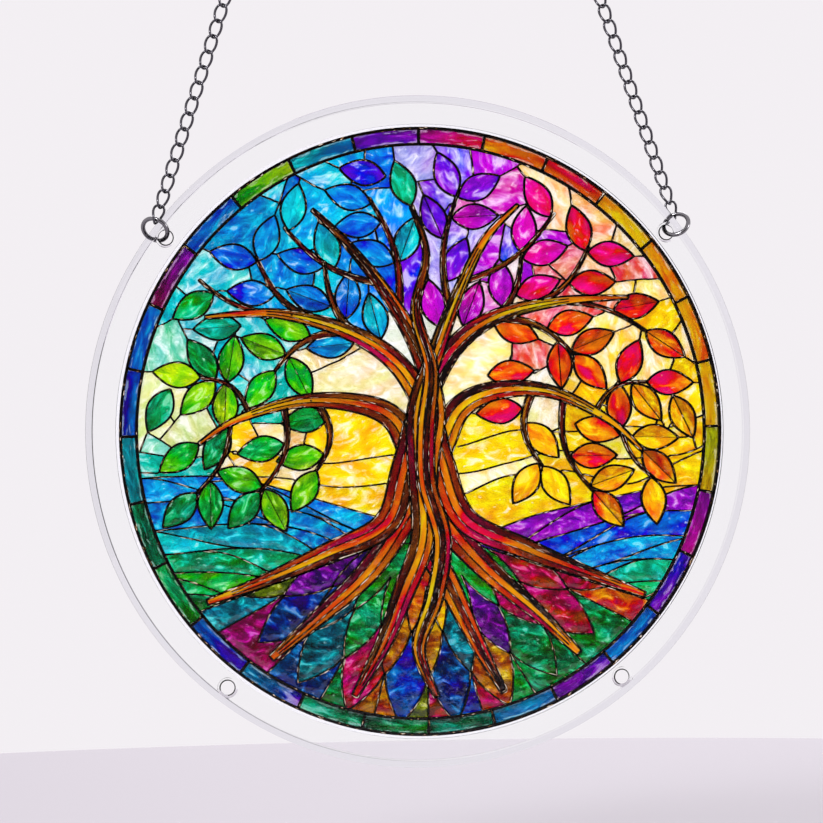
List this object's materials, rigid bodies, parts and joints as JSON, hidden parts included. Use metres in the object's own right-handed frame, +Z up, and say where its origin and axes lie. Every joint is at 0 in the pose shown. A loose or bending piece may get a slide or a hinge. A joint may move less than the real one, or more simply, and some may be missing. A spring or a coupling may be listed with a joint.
{
  "type": "acrylic suncatcher",
  "caption": "Round clear acrylic disc carrying a stained-glass style tree roundel, hung by jump rings and curb chains from one ring.",
  "frame": {"origin": "the point inside the top of the hanging ring where a hook or nail bears", "axes": "+Z up along the hanging line, the disc in the XZ plane with its picture facing -Y, +X to the right seen from the front"},
  "size_m": [0.2, 0.008, 0.4073],
  "materials": {
    "clear_acrylic": "polished",
    "stained_colours": "glossy, rippled",
    "polished_steel": "polished",
    "chain_steel": "polished, dark"
  },
  "bodies": {
    "root": {"acrylic_disc": "clear_acrylic", "picture_roundel": "stained_colours", "jump_ring_left": "polished_steel", "jump_ring_right": "polished_steel", "chain_left": "chain_steel", "chain_right": "chain_steel", "hanging_ring": "polished_steel"}
  },
  "joints": []
}
